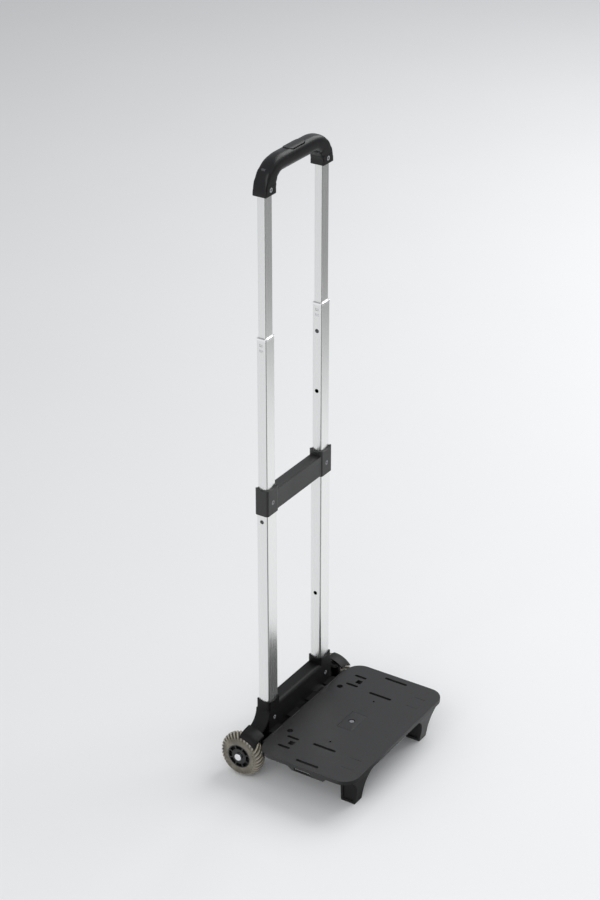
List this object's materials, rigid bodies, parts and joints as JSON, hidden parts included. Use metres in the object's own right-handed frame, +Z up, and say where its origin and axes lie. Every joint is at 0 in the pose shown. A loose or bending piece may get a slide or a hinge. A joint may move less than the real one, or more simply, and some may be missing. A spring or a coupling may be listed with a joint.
{
  "type": "folding platform cart",
  "caption": "Folding platform cart with a telescopic pull handle, a platform that folds up on a hinge, small wheels and moulded front feet.",
  "frame": {"origin": "on the floor, below the middle of the outer box", "axes": "+X along the wheel axle, -Y forward along the platform, +Z up"},
  "size_m": [0.275, 0.2258, 0.9345],
  "materials": {
    "base_plastic": "fine satin grain, near black",
    "brace_plastic": "fine satin grain, near black",
    "deck_plastic": "matte charcoal with a fine moulded grain",
    "handle_plastic": "softly polished black",
    "button_plastic": "softly polished black",
    "inner_plastic": "plain moulded",
    "tube_aluminium": "clear anodised with fine drawn lines along the tube",
    "cap_metal": "bright",
    "tyre_urethane": "smoky clear cast urethane",
    "hub_plastic": "black moulded",
    "bearing_steel": "ground steel",
    "axle_steel": "turned steel",
    "zinc_steel": "bright zinc plate",
    "dark_steel": "dull dark plate",
    "spring_steel": "drawn wire"
  },
  "bodies": {
    "base": {"base_frame": "base_plastic", "hinge_pin": "axle_steel", "axle": "axle_steel", "axle_caps": "zinc_steel", "axle_washers": "axle_steel", "lower_tube_left": "tube_aluminium", "lower_tube_right": "tube_aluminium", "cross_brace": "brace_plastic", "brace_screws": "dark_steel", "base_screws": "zinc_steel"},
    "middle_stage": {"middle_tube_left": "tube_aluminium", "middle_tube_right": "tube_aluminium", "middle_cap_left": "cap_metal", "middle_cap_right": "cap_metal", "middle_lock_block_left": "inner_plastic", "middle_lock_block_right": "inner_plastic", "middle_pin_spring_left": "spring_steel", "middle_pin_spring_right": "spring_steel"},
    "handle_stage": {"upper_tube_left": "tube_aluminium", "upper_tube_right": "tube_aluminium", "upper_lock_block_left": "inner_plastic", "upper_lock_block_right": "inner_plastic", "upper_pin_spring_left": "spring_steel", "upper_pin_spring_right": "spring_steel", "handle_grip": "handle_plastic", "handle_cover": "handle_plastic", "handle_screws": "zinc_steel", "release_springs": "spring_steel"},
    "release": {"release_button": "button_plastic", "push_bar": "inner_plastic", "release_rods": "axle_steel"},
    "platform": {"platform_deck": "deck_plastic", "deck_rivet": "dark_steel", "front_foot_left": "deck_plastic", "front_foot_right": "deck_plastic"},
    "wheel_left": {"tyre_left": "tyre_urethane", "hub_left": "hub_plastic", "wheel_bearings_left": "bearing_steel", "bearing_spacer_left": "bearing_steel"},
    "upper_pin_left": {"upper_lock_pin_left": "axle_steel"},
    "middle_pin_left": {"middle_lock_pin_left": "axle_steel"},
    "wheel_right": {"tyre_right": "tyre_urethane", "hub_right": "hub_plastic", "wheel_bearings_right": "bearing_steel", "bearing_spacer_right": "bearing_steel"},
    "upper_pin_right": {"upper_lock_pin_right": "axle_steel"},
    "middle_pin_right": {"middle_lock_pin_right": "axle_steel"}
  },
  "joints": [
    {"name": "platform_fold", "type": "hinge", "parent": "base", "child": "platform", "pos_m": [0, 0.0495, 0.0575], "axis": [-1, 0, 0], "range_deg": [0, 90]},
    {"name": "middle_slide", "type": "slide", "parent": "base", "child": "middle_stage", "axis": [0, 0, -1], "range_m": [0, 0.224]},
    {"name": "upper_slide", "type": "slide", "parent": "middle_stage", "child": "handle_stage", "axis": [0, 0, -1], "range_m": [0, 0.199]},
    {"name": "release_push", "type": "slide", "parent": "handle_stage", "child": "release", "axis": [0, 0, -1], "range_m": [0, 0.004], "stiffness_N_per_m": 600, "springref_m": -0.004, "deforming": ["release_springs"]},
    {"name": "wheel_spin_left", "type": "hinge", "parent": "base", "child": "wheel_left", "pos_m": [-0.123, 0.0779, 0.035], "axis": [1, 0, 0], "continuous": true},
    {"name": "upper_pin_slide_left", "type": "slide", "parent": "handle_stage", "child": "upper_pin_left", "axis": [-1, 0, 0], "range_m": [0, 0.003], "deforming": ["upper_pin_spring_left"]},
    {"name": "middle_pin_slide_left", "type": "slide", "parent": "middle_stage", "child": "middle_pin_left", "axis": [1, 0, 0], "range_m": [0, 0.003], "stiffness_N_per_m": 300, "springref_m": -0.004, "deforming": ["middle_pin_spring_left"]},
    {"name": "wheel_spin_right", "type": "hinge", "parent": "base", "child": "wheel_right", "pos_m": [0.123, 0.0779, 0.035], "axis": [1, 0, 0], "continuous": true},
    {"name": "upper_pin_slide_right", "type": "slide", "parent": "handle_stage", "child": "upper_pin_right", "axis": [1, 0, 0], "range_m": [0, 0.003], "deforming": ["upper_pin_spring_right"]},
    {"name": "middle_pin_slide_right", "type": "slide", "parent": "middle_stage", "child": "middle_pin_right", "axis": [-1, 0, 0], "range_m": [0, 0.003], "stiffness_N_per_m": 300, "springref_m": -0.004, "deforming": ["middle_pin_spring_right"]}
  ],
  "couplings": [
    {"joint": "upper_pin_slide_left", "follows": "release_push", "ratio": 0.75},
    {"joint": "upper_pin_slide_right", "follows": "release_push", "ratio": 0.75}
  ]
}
